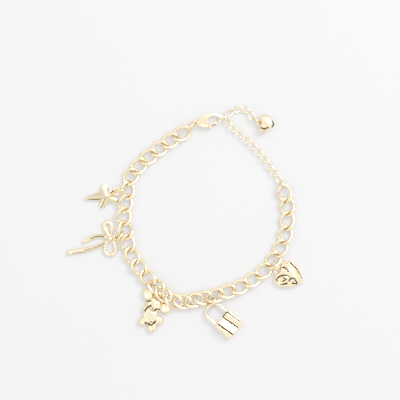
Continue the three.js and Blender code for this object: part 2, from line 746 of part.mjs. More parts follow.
// Joins the first and last links to the clasp and the extender, and hangs the end drop
function joinEnds(loops, fixed) {
  const lying = [...claspPlace.at, clasp.thickness / 2, claspPlace.turn];
  fixed.push({ name: "clasp_body", manifold: placed(claspBodySolid(), ...lying) });
  fixed.push({ name: "clasp_lever", manifold: placed(claspLeverSolid(), ...lying) });
  fixed.push({ name: "extender_chain", manifold: extenderSolid() });
  const ringBetween = (name, ring, from, way, into, height) => {
    const start = from.clone().addScaledVector(way, into);
    const end = start.clone().addScaledVector(way, span(ring, height));
    loops.push(standingRing(name, ring, start, end));
    return end;
  };
  const loop = new Vector3(...claspPlace.at, 0);
  const toChain = route.getPointAt(0).sub(loop).normalize();
  ringBetween("clasp_ring", jumpRing, loop, toChain, 0, ringPlace.height);
  const last = new Vector3(...extenderRoute[0], 0);
  const toEnd = route.getPointAt(1).sub(last).normalize();
  ringBetween("extender_ring", smallRing, last, toEnd, ringPlace.intoExtender, ringPlace.height);
  const tail = new Vector3(...tailRoute.at(-1), 0);
  const out = plan(ringPlace.dropWay, 1);
  const toDrop = new Vector3(out.x, out.y, 0);
  const dropEye = ringBetween("drop_ring", dropRing, tail, toDrop, ringPlace.intoTail, ringPlace.dropHeight);
  fixed.push({ name: "end_drop", manifold: placed(endHeartSolid(), dropEye.x, dropEye.y, 0, endHeart.turn) });
}

function surfacePoints(fixed) {
  return fixed.flatMap(({ manifold }) => {
    const { vertProperties: v } = manifold.refineToLength(0.6).getMesh();
    return Array.from({ length: v.length / 3 }, (_, i) => new Vector3().fromArray(v, 3 * i));
  });
}

const loops = laidLinks();
const fixed = [];
hangCharms(loops, fixed);
joinEnds(loops, fixed);
settle(loops, surfacePoints(fixed));

const finish = { name: "pale_gold", color: 0xe9cf98, roughness: 0.16, metalness: 1 };
const bracelet = new THREE.Group();
bracelet.name = "charm_bracelet";

function addPiece(name, geometry, position = new Vector3(), turn = new Quaternion()) {
  geometry.computeVertexNormals();
  const mesh = new THREE.Mesh(geometry, new THREE.MeshStandardMaterial(finish));
  mesh.name = name;
  mesh.position.copy(position);
  mesh.quaternion.copy(turn);
  bracelet.add(mesh);
}

loops.forEach(({ name, size, position, turn }) => addPiece(name, shared(wireLoop(size)), position, turn));
fixed.forEach(({ name, manifold }) => addPiece(name, geometryOf(manifold)));

const box = new THREE.Box3().setFromObject(bracelet, true);
const centre = box.getCenter(new Vector3());
bracelet.position.set(-centre.x, -centre.y, -box.min.z);

export default bracelet;
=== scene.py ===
"""A gold-coloured charm bracelet, closed and lying on a pale table, seen from straight above.

A curb chain carries a star, a bow, a bear, a padlock and a heart on jump rings. A lobster clasp
grips a fine extender chain, whose spare length ends in a puffed heart. Charms are shaped in
millimetres, with the eye that they hang from at the origin, and then set where the frame has them.
"""
import math

import bmesh
import bpy
from bpy.props import FloatProperty, FloatVectorProperty, IntProperty, PointerProperty
from mathutils import Matrix, Vector


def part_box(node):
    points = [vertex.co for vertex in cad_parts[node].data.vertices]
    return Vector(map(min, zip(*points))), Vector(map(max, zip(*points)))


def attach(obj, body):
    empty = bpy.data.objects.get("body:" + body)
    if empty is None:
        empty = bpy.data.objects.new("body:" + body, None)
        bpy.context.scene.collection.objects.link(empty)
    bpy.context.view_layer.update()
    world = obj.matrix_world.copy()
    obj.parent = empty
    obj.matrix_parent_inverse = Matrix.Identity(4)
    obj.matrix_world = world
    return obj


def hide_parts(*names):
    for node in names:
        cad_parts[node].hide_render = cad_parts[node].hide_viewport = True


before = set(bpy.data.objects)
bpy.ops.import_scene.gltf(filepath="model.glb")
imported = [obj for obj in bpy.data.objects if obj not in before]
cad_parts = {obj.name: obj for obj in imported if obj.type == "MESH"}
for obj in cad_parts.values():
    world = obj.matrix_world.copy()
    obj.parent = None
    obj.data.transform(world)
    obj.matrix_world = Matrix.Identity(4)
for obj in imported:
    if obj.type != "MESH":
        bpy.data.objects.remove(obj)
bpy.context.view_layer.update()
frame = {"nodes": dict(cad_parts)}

bl_info = {
    "name": "Charm bracelet",
    "version": (1, 0, 0),
    "blender": (4, 5, 0),
    "location": "3D View > Sidebar > Bracelet",
    "description": "Builds a gold-coloured charm bracelet round its packed frame",
    "category": "Add Mesh",
}

MM = 0.001
UP = Vector((0, 0, 1))
CHAIN = "bracelet"
LEVER = "lever"
# Faces round a swept wire, faces round an eye, and steps between two points of a path
WIRE_SIDES = 16
EYE_STEPS = 48
PATH_STEPS = 8
GROOVE_STEPS = 10
# Steepest slope, as the height of its normal, that an engraved line is darkened on with painted shade
SHADED_SLOPE = -0.2
# Angle past which an edge between two faces is drawn sharp
SHARP = math.radians(50)

# Settings


def length(name, default, description):
    return FloatProperty(name=name, default=default, min=0.01, description=description + ", in millimetres")


def colour(name, default, description):
    return FloatVectorProperty(
        name=name, default=default, subtype="COLOR", size=3, min=0, max=1, description=description)


class GoldSettings(bpy.types.PropertyGroup):
    """Colours and finish of the plated metal, and the painted shade between wires and in pressed lines"""
    light: colour("Gold", (0.97, 0.86, 0.64), "The plated metal where it is clean")
    deep: colour("Deep gold", (0.86, 0.69, 0.38), "The metal where handling has dulled it")
    roughness: FloatProperty(name="Roughness", default=0.13, min=0, max=1, description="Gloss of the plating")
    wear: FloatProperty(
        name="Wear", default=0.25, min=0, max=1, description="How much of the surface is dulled")
    grain: FloatProperty(name="Grain", default=900, min=1, description="Scale of the fine polishing marks")
    # Painted shade: the dark colour painted into pressed lines and creases, where shade falls
    groove_shade: colour("Recess", (0.09, 0.06, 0.025), "The antiqued metal at the bottom of engraved lines")
    # Painted shade: the next three settings paint the metal darker, towards a deep brown, where other metal
    # lies close, as between wires that cross
    crevice_shade: FloatProperty(
        name="Crevice", default=0.7, min=0, max=1, description="How much metal deepens between wires")
    crossing_shade: colour("Crossing", (0.66, 0.43, 0.16), "The metal deep between wires that cross")
    shade_reach: FloatProperty(
        name="Closeness", default=0.0011, min=0.0001, unit="LENGTH",
        description="How near to other metal it deepens")


class WireSettings(bpy.types.PropertyGroup):
    """Wires of the chains and rings"""
    link: length("Link wire", 1.15, "Diameter of a main link's wire")
    ring: length("Ring wire", 0.75, "Diameter of a jump ring's wire")
    small_ring: length("Small ring wire", 0.7, "Diameter of a small ring's wire")
    drop_ring: length("Drop ring wire", 0.6, "Diameter of the end drop's ring wire")
    levels: IntProperty(name="Levels", default=2, min=1, max=3, description="Subdivisions of each wire")
    eye: length("Eye", 2.9, "Outer diameter of a charm's eye")
    eye_wire: length("Eye wire", 0.62, "Wire of a charm's eye")
    eye_height: length("Eye height", 1.15, "Height of a charm's eye above the table")


class CharmSettings(bpy.types.PropertyGroup):
    """Main sizes of the charms"""
    star_span: length("Star span", 15.2, "Twice the star's longest reach")
    star_thickness: length("Star thickness", 2.4, "Height of the star's middle")
    star_edge: length("Star edge", 0.9, "Height of the star's rim")
    star_waist: length("Star waist", 2.6, "Radius between two arms")
    star_arm: length("Star arm", 2.2, "Width of an arm halfway along")
    star_tip: length("Star tip", 0.75, "Width of an arm's end")
    bow_span: length("Bow span", 14.4, "Reach of the longer tail")
    bow_ribbon: length("Bow ribbon", 1.35, "Width of the ribbon")
    bow_thickness: length("Bow thickness", 1.3, "Height of the ribbon")
    bow_knot: length("Bow knot", 2.3, "Width of the knot")
    bear_height: length("Bear height", 14.6, "Scale of the bear's body")
    bear_thickness: length("Bear thickness", 2.8, "Scale of the bear's depth")
    lock_width: length("Padlock width", 7.6, "Width of the padlock's body")
    lock_height: length("Padlock height", 7.2, "Height of the padlock's body")
    lock_thickness: length("Padlock thickness", 2.4, "Depth of the padlock's body")
    shackle_wire: length("Shackle wire", 1.0, "Diameter of the shackle's wire")
    shackle_width: length("Shackle width", 6.9, "Outer width of the shackle")
    shackle_reach: length("Shackle reach", 3.0, "Straight length of the shackle's legs")
    heart_length: length("Heart length", 10.2, "Cleft side to tip")
    heart_width: length("Heart width", 9.8, "Across both lobes")
    heart_thickness: length("Heart thickness", 1.5, "Depth of the heart's plate")
    drop_length: length("Drop length", 5.6, "End drop, cleft side to tip")
    drop_width: length("Drop width", 6.7, "End drop, across both lobes")
    drop_thickness: length("Drop thickness", 3.6, "End drop, front to back")


class StudioSettings(bpy.types.PropertyGroup):
    """Light, table and camera"""
    frame: length("Frame", 140.0, "Width of the table that the picture takes in")
    distance: FloatProperty(
        name="Distance", default=1.6, min=0.2, unit="LENGTH", description="Camera to table")
    middle: FloatVectorProperty(
        name="Middle", default=(0.005221, 0.007811), size=2, unit="LENGTH",
        description="Centre of the picture")
    table: colour("Table", (0.36, 0.36, 0.365), "The pale table")
    glow: FloatProperty(name="Glow", default=0.43, min=0, description="Light that comes up through the table")
    sky: FloatProperty(name="Sky", default=1.0, min=0, description="Strength of the soft room light")
    key: FloatProperty(name="Key", default=0.9, min=0, description="Strength of the window light")


GROUPS = {
    "bracelet_gold": GoldSettings,
    "bracelet_wire": WireSettings,
    "bracelet_charms": CharmSettings,
    "bracelet_studio": StudioSettings,
}

# Materials


def add_node(tree, kind, place, **values):
    """A node with its settings and sockets given by name, with _ for a space in a socket's name"""
    node = tree.nodes.new(kind)
    node.location = place
    for key, value in values.items():
        if hasattr(node, key):
            setattr(node, key, value)
        else:
            node.inputs[key.replace("_", " ")].default_value = value
    return node


def wear_group():
    """Masks and fine relief of handled, polished metal: patches that have dulled, and hairline marks"""
    name = "Handled metal"
    if name in bpy.data.node_groups:
        return bpy.data.node_groups[name]
    tree = bpy.data.node_groups.new(name, "ShaderNodeTree")
    face = tree.interface
    for label, default in (("Patch Scale", 300.0), ("Amount", 0.3), ("Grain Scale", 900.0)):
        face.new_socket(label, in_out="INPUT", socket_type="NodeSocketFloat").default_value = default
    for label in ("Dull", "Haze", "Marks"):
        face.new_socket(label, in_out="OUTPUT", socket_type="NodeSocketFloat")
    entry = add_node(tree, "NodeGroupInput", (-900, 0))
    leave = add_node(tree, "NodeGroupOutput", (600, 0))
    place = add_node(tree, "ShaderNodeTexCoord", (-900, -300))
    patches = add_node(tree, "ShaderNodeTexNoise", (-600, 200), Detail=3.0, Roughness=0.6)
    marks = add_node(tree, "ShaderNodeTexNoise", (-600, -250), Detail=2.0)
    stretch = add_node(
        tree, "ShaderNodeMapping", (-750, -350), Scale=(1.0, 6.0, 1.0), Rotation=(0.0, 0.0, 0.6))
    spread = add_node(tree, "ShaderNodeMapRange", (-350, 200), From_Min=0.45, From_Max=0.75)
    share = add_node(tree, "ShaderNodeMath", (-100, 200), operation="MULTIPLY")
    haze = add_node(tree, "ShaderNodeMath", (150, 0), operation="MULTIPLY")
    links = tree.links
    links.new(place.outputs["Object"], patches.inputs["Vector"])
    links.new(place.outputs["Object"], stretch.inputs["Vector"])
    links.new(stretch.outputs["Vector"], marks.inputs["Vector"])
    links.new(entry.outputs["Patch Scale"], patches.inputs["Scale"])
    links.new(entry.outputs["Grain Scale"], marks.inputs["Scale"])
    links.new(patches.outputs["Fac"], spread.inputs["Value"])
    links.new(spread.outputs["Result"], share.inputs[0])
    links.new(entry.outputs["Amount"], share.inputs[1])
    links.new(share.outputs["Value"], haze.inputs[0])
    links.new(marks.outputs["Fac"], haze.inputs[1])
    links.new(share.outputs["Value"], leave.inputs["Dull"])
    links.new(haze.outputs["Value"], leave.inputs["Haze"])
    links.new(marks.outputs["Fac"], leave.inputs["Marks"])
    return tree


def gold(name, warmth=0.0, gloss=0.0, patch=300.0, marks=0.02):
    """Plated gold. Warmth deepens its colour, gloss smooths it, and marks are its hairlines. It is painted
    darker with painted shade where other metal is near and along pressed lines.
    """
    if name in bpy.data.materials:
        return bpy.data.materials[name]
    settings = bpy.context.scene.bracelet_gold
    material = bpy.data.materials.new(name)
    material.use_nodes = True
    tree = material.node_tree
    shader = tree.nodes["Principled BSDF"]
    shader.inputs["Metallic"].default_value = 1
    wear = add_node(
        tree, "ShaderNodeGroup", (-900, 0), node_tree=wear_group(), Patch_Scale=patch,
        Amount=settings.wear, Grain_Scale=settings.grain)
    light, deep = Vector(settings.light), Vector(settings.deep)
    clean, dulled = (light.lerp(deep, share) for share in (warmth, min(1, warmth + 0.7)))
    tint = add_node(
        tree, "ShaderNodeMix", (-500, 200), data_type="RGBA", A=(*clean, 1), B=(*dulled, 1))
    smoothest = settings.roughness - gloss
    polish = add_node(
        tree, "ShaderNodeMapRange", (-500, -100), To_Min=smoothest, To_Max=smoothest + 0.25)
    relief = add_node(tree, "ShaderNodeBump", (-250, -300), Strength=marks, Distance=0.00002)
    # Painted shade: ambient occlusion paints the colour darker, towards a deep brown, where other metal is
    # near
    closed = add_node(
        tree, "ShaderNodeAmbientOcclusion", (-900, 500), samples=6, Distance=settings.shade_reach)
    shade_share = add_node(
        tree, "ShaderNodeMapRange", (-700, 500), From_Min=0.75, From_Max=0.15, To_Max=settings.crevice_shade)
    crossing_shade = add_node(
        tree, "ShaderNodeMix", (-300, 400), data_type="RGBA", B=(*settings.crossing_shade, 1))
    # Painted shade in pressed lines, from the vertex layer that groove() writes
    groove_shade_mask = add_node(tree, "ShaderNodeAttribute", (-500, 600), attribute_name="groove_shade")
    line = add_node(tree, "ShaderNodeMix", (-100, 400), data_type="RGBA", B=(*settings.groove_shade, 1))
    links = tree.links
    links.new(closed.outputs["AO"], shade_share.inputs["Value"])
    links.new(shade_share.outputs["Result"], crossing_shade.inputs["Factor"])
    links.new(tint.outputs["Result"], crossing_shade.inputs["A"])
    links.new(crossing_shade.outputs["Result"], line.inputs["A"])
    links.new(groove_shade_mask.outputs["Fac"], line.inputs["Factor"])
    links.new(wear.outputs["Dull"], tint.inputs["Factor"])
    links.new(wear.outputs["Haze"], polish.inputs["Value"])
    links.new(wear.outputs["Marks"], relief.inputs["Height"])
    links.new(line.outputs["Result"], shader.inputs["Base Color"])
    links.new(polish.outputs["Result"], shader.inputs["Roughness"])
    links.new(relief.outputs["Normal"], shader.inputs["Normal"])
    return material


# Meshes


def piece(bm, name, material, *nodes, body=CHAIN, levels=0):
    """Makes a finished mesh in metres an object that rides on a body and stands for its CAD nodes"""
    bmesh.ops.recalc_face_normals(bm, faces=bm.faces)
    mesh = bpy.data.meshes.new(name)
    bm.to_mesh(mesh)
    bm.free()
    mesh.materials.append(material)
    made = bpy.data.objects.new(name, mesh)
    bpy.context.scene.collection.objects.link(made)
    if levels:
        rounding = made.modifiers.new("Subdivision", "SUBSURF")
        rounding.levels = levels
        rounding.render_levels = levels
    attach(made, body)
    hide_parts(*nodes)
    return made


def shade(bm, sharp_angle=None):
    for face in bm.faces:
        face.smooth = True
    if sharp_angle is None:
        return
    for edge in bm.edges:
        if len(edge.link_faces) == 2 and edge.calc_face_angle() > sharp_angle:
            edge.smooth = False


def span_of(bm):
    lows = Vector(min(v.co[i] for v in bm.verts) for i in range(3))
    highs = Vector(max(v.co[i] for v in bm.verts) for i in range(3))
    return lows, highs


def copy_of(node):
    """A merged copy of a node's mesh, in millimetres"""
    bm = bmesh.new()
    bm.from_mesh(frame["nodes"][node].data)
    bmesh.ops.scale(bm, vec=(1 / MM,) * 3, verts=bm.verts)
    bmesh.ops.remove_doubles(bm, verts=bm.verts, dist=0.001)
    return bm


def seat(bm, node, turn=0.0):
    """Turns a form that was shaped in millimetres, and sets it in metres where its node lies"""
    bmesh.ops.rotate(bm, matrix=Matrix.Rotation(turn, 3, "Z"), verts=bm.verts)
    bmesh.ops.scale(bm, vec=(MM,) * 3, verts=bm.verts)
    low, high = span_of(bm)
    node_low, node_high = (Vector(corner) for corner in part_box(node))
    shift = (node_low + node_high - low - high) / 2
    shift.z = node_low.z - low.z
    bmesh.ops.translate(bm, vec=shift, verts=bm.verts)


def reshaped(bm, name, *modifiers):
    """Runs modifiers, given as (type, settings), on a mesh and gives the result as a new one"""
    mesh = bpy.data.meshes.new(name)
    bm.to_mesh(mesh)
    bm.free()
    rough = bpy.data.objects.new(name, mesh)
    bpy.context.scene.collection.objects.link(rough)
    for kind, settings in modifiers:
        modifier = rough.modifiers.new(kind, kind)
        for key, value in settings.items():
            setattr(modifier, key, value)
    graph = bpy.context.evaluated_depsgraph_get()
    result = bpy.data.meshes.new_from_object(rough.evaluated_get(graph))
    done = bmesh.new()
    done.from_mesh(result)
    bpy.data.objects.remove(rough)
    bpy.data.meshes.remove(mesh)
    bpy.data.meshes.remove(result)
    return done


def fused(bm, voxel, passes):
    """Joins closed forms that overlap into one skin, with its creases eased as in a casting"""
    bmesh.ops.recalc_face_normals(bm, faces=bm.faces)
    return reshaped(
        bm, "fused",
        ("REMESH", {"mode": "VOXEL", "voxel_size": voxel}),
        ("SMOOTH", {"factor": 0.5, "iterations": passes}),
    )


def cut_flat(bm):
    """Takes off what is below the table's height and closes the cut"""
    parts = bm.verts[:] + bm.edges[:] + bm.faces[:]
    made = bmesh.ops.bisect_plane(
        bm, geom=parts, plane_co=(0, 0, 0), plane_no=(0, 0, -1), clear_outer=True)
    edges = [e for e in made["geom_cut"] if isinstance(e, bmesh.types.BMEdge)]
    bmesh.ops.holes_fill(bm, edges=edges)


def wire_edges(ring):
    inside = set(ring)
    return [e for e in {e for v in ring for e in v.link_edges} if all(v in inside for v in e.verts)]


def station(point, tangent, half_width, half_height):
    """Where a section stands on its path: its side lies flat, its rise is upright"""
    side = UP.cross(tangent).normalized()
    rise = tangent.cross(side)
    turn = Matrix((side, rise, tangent)).transposed().to_4x4()
    return Matrix.Translation(point) @ turn @ Matrix.Diagonal((half_width, half_height, 1, 1))


def sweep(bm, stations, sides=WIRE_SIDES, closed=False):
    """Runs a round section through its stations, by extruding it from each to the next"""
    ring = bmesh.ops.create_circle(
        bm, cap_ends=not closed, segments=sides, radius=1, matrix=stations[0])["verts"]
    first = ring
    for last, here in zip(stations, stations[1:]):
        made = bmesh.ops.extrude_edge_only(bm, edges=wire_edges(ring))["geom"]
        ring = [v for v in made if isinstance(v, bmesh.types.BMVert)]
        bmesh.ops.transform(bm, matrix=here @ last.inverted(), verts=ring)
    if closed:
        bmesh.ops.bridge_loops(bm, edges=wire_edges(first) + wire_edges(ring))
    else:
        bmesh.ops.holes_fill(bm, edges=wire_edges(ring))


def hermite(p0, p1, p2, p3, count):
    """Points from p1 to p2 on the centripetal Catmull-Rom curve through four points"""
    gaps = [max(1e-4, (b - a).length ** 0.5) for a, b in ((p0, p1), (p1, p2), (p2, p3))]
    start = (p1 - p0) / gaps[0] - (p2 - p0) / (gaps[0] + gaps[1]) + (p2 - p1) / gaps[1]
    end = (p2 - p1) / gaps[1] - (p3 - p1) / (gaps[1] + gaps[2]) + (p3 - p2) / gaps[2]
    start, end = start * gaps[1], end * gaps[1]
    for i in range(count):
        t = i / count
        yield (p1 * (2 * t ** 3 - 3 * t ** 2 + 1) + start * (t ** 3 - 2 * t ** 2 + t)
               + p2 * (3 * t ** 2 - 2 * t ** 3) + end * (t ** 3 - t ** 2))


def smooth_path(points, height, count):
    """(point, tangent, share of the way) all along a smooth curve through points in plan"""
    knots = [Vector((x, y, height)) for x, y in points]
    knots = [knots[0] * 2 - knots[1], *knots, knots[-1] * 2 - knots[-2]]
    path = [p for four in zip(knots, knots[1:], knots[2:], knots[3:]) for p in hermite(*four, count)]
    path.append(knots[-2])
    walked = [0.0]
    for a, b in zip(path, path[1:]):
        walked.append(walked[-1] + (b - a).length)
    out = []
    for i, point in enumerate(path):
        ahead, behind = path[min(i + 1, len(path) - 1)], path[max(i - 1, 0)]
        out.append((point, (ahead - behind).normalized(), walked[i] / walked[-1]))
    return out


def at_share(values, share):
    """A value along a list of evenly spaced ones"""
    place = share * (len(values) - 1)
    low = min(int(place), len(values) - 2)
    return values[low] + (values[low + 1] - values[low]) * (place - low)


def ribbon(bm, points, widths, thickness, height):
    """A round-edged strand, with rounded ends, whose half width follows a list along it"""
    path = smooth_path(points, height, PATH_STEPS)
    total = sum((b[0] - a[0]).length for a, b in zip(path, path[1:]))
    stations = []
    for point, tangent, share in path:
        wide = at_share(widths, share)
        end = min(share, 1 - share) * total
        round_off = math.sqrt(max(0.04, 1 - (1 - min(1, end / (thickness / 2))) ** 2))
        stations.append(station(point, tangent, wide * round_off, thickness / 2 * round_off))
    sweep(bm, stations)


def ball(bm, x, y, z, radius, tall, detail=40):
    made = bmesh.ops.create_uvsphere(bm, u_segments=detail, v_segments=detail // 2, radius=1)["verts"]
    bmesh.ops.scale(bm, vec=(radius, radius, tall), verts=made)
    bmesh.ops.translate(bm, vec=(x, y, z), verts=made)


def torus(bm, centre, radius, wire):
    place = Matrix.Translation(Vector(centre) + Vector((radius, 0, 0)))
    section = bmesh.ops.create_circle(
        bm, cap_ends=False, segments=WIRE_SIDES, radius=wire / 2,
        matrix=place @ Matrix.Rotation(math.pi / 2, 4, "X"))
    ring = section["verts"]
    bmesh.ops.spin(
        bm, geom=ring + wire_edges(ring), cent=centre, axis=UP, dvec=(0, 0, 0), angle=2 * math.pi,
        steps=EYE_STEPS, use_merge=True, use_normal_flip=False, use_duplicate=False)


def eye(bm, wire):
    torus(bm, (0, 0, wire.eye_height), (wire.eye - wire.eye_wire) / 2, wire.eye_wire)


def dent(bm, x, y, radius, depth):
    """Presses a round-bottomed hollow into the upper side, or raises a bump if depth is negative"""
    for v in bm.verts:
        far = math.hypot(v.co.x - x, v.co.y - y) / radius
        if far < 1 and v.normal.z > 0.1:
            v.co.z -= depth * (1 - far * far) ** 2


def groove(bm, points, width, depth):
    """Presses a narrow line into the upper side along a path in plan, and marks it to be darkened with
    painted shade
    """
    path = [p for p, _, _ in smooth_path(points, 0.0, GROOVE_STEPS)]
    groove_shade = bm.verts.layers.float.get("groove_shade") or bm.verts.layers.float.new("groove_shade")
    low = Vector((min(p.x for p in path) - width, min(p.y for p in path) - width))
    high = Vector((max(p.x for p in path) + width, max(p.y for p in path) + width))
    for v in bm.verts:
        if v.normal.z < SHADED_SLOPE or not (low.x < v.co.x < high.x and low.y < v.co.y < high.y):
            continue
        far = min(math.hypot(p.x - v.co.x, p.y - v.co.y) for p in path) / width
        if far < 1:
            v.co.z -= depth * (1 - far * far) ** 2 * max(0, v.normal.z)
            v[groove_shade] = max(v[groove_shade], min(1, 1.8 * (1 - far)))


# Chain, rings and extender


def limit_share(sides):
    """How far a regular ring of control points shrinks when it is subdivided"""
    return 2 / 3 + math.cos(2 * math.pi / sides) / 3


def rounded_loop(node, wire, segments, sides):
    """A faceted wire loop as a cage that subdivides to the same loop of round wire"""
    bm = copy_of(node)
    bmesh.ops.join_triangles(
        bm, faces=bm.faces, angle_face_threshold=math.radians(25), angle_shape_threshold=math.radians(80))
    bm.normal_update()
    stretch = 1 / limit_share(segments)
    out = wire / 2 * (1 / limit_share(sides) / stretch - 1)
    moves = [v.normal * out for v in bm.verts]
    for v, move in zip(bm.verts, moves):
        v.co += move
    low, high = span_of(bm)
    middle = (low + high) / 2
    bmesh.ops.translate(bm, vec=-middle, verts=bm.verts)
    bmesh.ops.scale(bm, vec=(stretch,) * 3, verts=bm.verts)
    bmesh.ops.translate(bm, vec=middle, verts=bm.verts)
    bmesh.ops.scale(bm, vec=(MM,) * 3, verts=bm.verts)
    shade(bm)
    return bm


class BRACELET_OT_links(bpy.types.Operator):
    """Rounds the wire of each link of the main chain"""
    bl_idname = "bracelet.links"
    bl_label = "Links"

    def execute(self, context):
        wire = context.scene.bracelet_wire
        material = gold("chain gold", warmth=0.1, gloss=-0.09, patch=420.0)
        for node in sorted(n for n in frame["nodes"] if n.startswith("link_")):
            bm = rounded_loop(node, wire.link, segments=14, sides=6)
            piece(bm, node + "_wire", material, node, levels=wire.levels)
        return {"FINISHED"}


class BRACELET_OT_rings(bpy.types.Operator):
    """Rounds the wire of each jump ring"""
    bl_idname = "bracelet.rings"
    bl_label = "Rings"

    def execute(self, context):
        wire = context.scene.bracelet_wire
        material = gold("ring gold", warmth=0.2, gloss=-0.07, patch=500.0)
        small = {
            "bear_ring": wire.small_ring, "extender_ring": wire.small_ring, "drop_ring": wire.drop_ring}
        for node in sorted(n for n in frame["nodes"] if n.endswith("_ring")):
            sides = 5 if node == "drop_ring" else 6
            bm = rounded_loop(node, small.get(node, wire.ring), segments=12, sides=sides)
            piece(bm, node + "_wire", material, node, levels=wire.levels)
        return {"FINISHED"}


class BRACELET_OT_extender(bpy.types.Operator):
    """Rounds the fine links of the extender chain"""
    bl_idname = "bracelet.extender"
    bl_label = "Extender"

    def execute(self, context):
        bm = fused(copy_of("extender_chain"), voxel=0.1, passes=3)
        bm.normal_update()
        for v in bm.verts:
            v.co += v.normal * 0.03
        shade(bm)
        seat(bm, "extender_chain")
        material = gold("fine chain gold", warmth=0.1, gloss=-0.12, patch=600.0)
        piece(bm, "extender_links", material, "extender_chain")
        return {"FINISHED"}


# Line of painted shade along the lever's upper side, in the frame's millimetres
LEVER_LINE = ((8.9, 33.75), (9.9, 34.0), (10.7, 34.3))


class BRACELET_OT_clasp(bpy.types.Operator):
    """Eases the cast housing of the lobster clasp and its lever"""
    bl_idname = "bracelet.clasp"
    bl_label = "Clasp"

    def execute(self, context):
        material = gold("clasp gold", warmth=0.08, gloss=0.03)
        for node, body in (("clasp_body", CHAIN), ("clasp_lever", LEVER)):
            bm = fused(copy_of(node), voxel=0.09, passes=5)
            bm.normal_update()
            if body == LEVER:
                groove(bm, LEVER_LINE, 0.2, 0.08)
            shade(bm)
            seat(bm, node)
            piece(bm, node + "_casting", material, node, body=body)
        return {"FINISHED"}


# Charms


# Arms by direction in degrees and reach as a share of the span
STAR_ARMS = (
    {"angle": 24, "reach": 0.205}, {"angle": 100, "reach": 0.315}, {"angle": 187, "reach": 0.5},
    {"angle": 252, "reach": 0.31}, {"angle": 333, "reach": 0.32},
)
# Lines of painted shade beside the star's ridges, from its middle, in millimetres
STAR_LINES = (
    ((-0.1, -0.55), (-0.9, -2.3), (-1.75, -4.2)), ((0.5, -0.15), (2.1, -0.75), (4.0, -1.95)),
    ((0.9, 0.85), (2.3, 1.55), (3.9, 2.0)), ((-2.0, -1.15), (-4.0, -1.2), (-6.0, -1.15)),
)
# How far a tip rises, and how far the eye sinks into the arm, in millimetres
STAR_TIP_LIFT = 0.45
STAR_SEAT = 0.45


def star_rim(form):
    """The star's rim in plan and height: each arm's tip and sides, and the waist up to the next arm"""
    rim = []
    for i, arm in enumerate(STAR_ARMS):
        following = STAR_ARMS[(i + 1) % len(STAR_ARMS)]["angle"] + (360 if i + 1 == len(STAR_ARMS) else 0)
        axis = Vector((math.cos(math.radians(arm["angle"])), math.sin(math.radians(arm["angle"])), 0))
        side = UP.cross(axis)
        reach = arm["reach"] * form.star_span
        middle = (reach + form.star_waist) / 2
        rim.append(axis * middle - side * form.star_arm / 2)
        rim.append(axis * (reach - form.star_tip / 2) - side * form.star_tip / 2)
        rim.append(axis * reach)
        rim.append(axis * (reach - form.star_tip / 2) + side * form.star_tip / 2)
        rim.append(axis * middle + side * form.star_arm / 2)
        between = math.radians((arm["angle"] + following) / 2)
        rim.append(Vector((math.cos(between), math.sin(between), 0)) * form.star_waist)
    return rim


class BRACELET_OT_star(bpy.types.Operator):
    """Faceted five-armed star with a ridge along each arm"""
    bl_idname = "bracelet.star"
    bl_label = "Star"

    def execute(self, context):
        form, wire = context.scene.bracelet_charms, context.scene.bracelet_wire
        rim = star_rim(form)
        bm = bmesh.new()
        base = bm.faces.new([bm.verts.new(p) for p in rim])
        walls = bmesh.ops.extrude_face_region(bm, geom=[base])["geom"]
        lid = [v for v in walls if isinstance(v, bmesh.types.BMVert)]
        bmesh.ops.translate(bm, vec=(0, 0, form.star_edge), verts=lid)
        top = [f for f in walls if isinstance(f, bmesh.types.BMFace)]
        crown = bmesh.ops.poke(bm, faces=top)["verts"][0]
        crown.co = Vector((0, 0, form.star_thickness))
        for i in range(len(STAR_ARMS)):
            tip = min(lid, key=lambda v: (v.co.xy - rim[6 * i + 2].xy).length)
            tip.co.z += STAR_TIP_LIFT
        ridges = [e for e in bm.edges if e.calc_face_angle(0) > math.radians(8)]
        bmesh.ops.bevel(
            bm, geom=ridges, offset=0.09, offset_type="OFFSET", affect="EDGES", segments=2, profile=0.5,
            material=-1)
        arm = STAR_ARMS[0]
        out = arm["reach"] * form.star_span + wire.eye / 2 - STAR_SEAT
        way = math.radians(arm["angle"])
        shift = -out * Vector((math.cos(way), math.sin(way), 0))
        bmesh.ops.translate(bm, vec=shift, verts=bm.verts)
        eye(bm, wire)
        bm = fused(bm, voxel=0.075, passes=1)
        bm.normal_update()
        for line in STAR_LINES:
            groove(bm, [tuple(Vector(p) + shift.xy) for p in line], 0.2, 0.08)
        shade(bm)
        seat(bm, "star")
        piece(bm, "star_charm", gold("star gold", gloss=0.02), "star")
        return {"FINISHED"}


# Strands in plan as shares of the bow's span from its knot, and their widths as shares of the ribbon
BOW_STRANDS = (
    {"points": ((0, 0), (-0.1, 0.2), (-0.14, 0.32), (-0.09, 0.395), (0.0, 0.37),
                (0.05, 0.27), (0.03, 0.12), (0, 0)),
     "width": (0.7, 1.2, 1.1, 0.8, 0.7)},
    {"points": ((0, 0), (-0.1, -0.14), (-0.13, -0.27), (-0.08, -0.375), (0.03, -0.4), (0.12, -0.33),
                (0.13, -0.22), (0.07, -0.08), (0, 0)),
     "width": (0.7, 0.9, 1, 0.9, 0.7)},
    {"points": ((0, 0), (-0.15, 0.05), (-0.3, 0.06), (-0.48, 0.0), (-0.68, -0.1)),
     "width": (0.8, 0.9, 1.1, 1.1, 0.8)},
    {"points": ((0, 0), (-0.14, -0.12), (-0.34, -0.21), (-0.62, -0.28), (-0.97, -0.34)),
     "width": (0.8, 1.0, 1.15, 1.4, 1.25)},
)


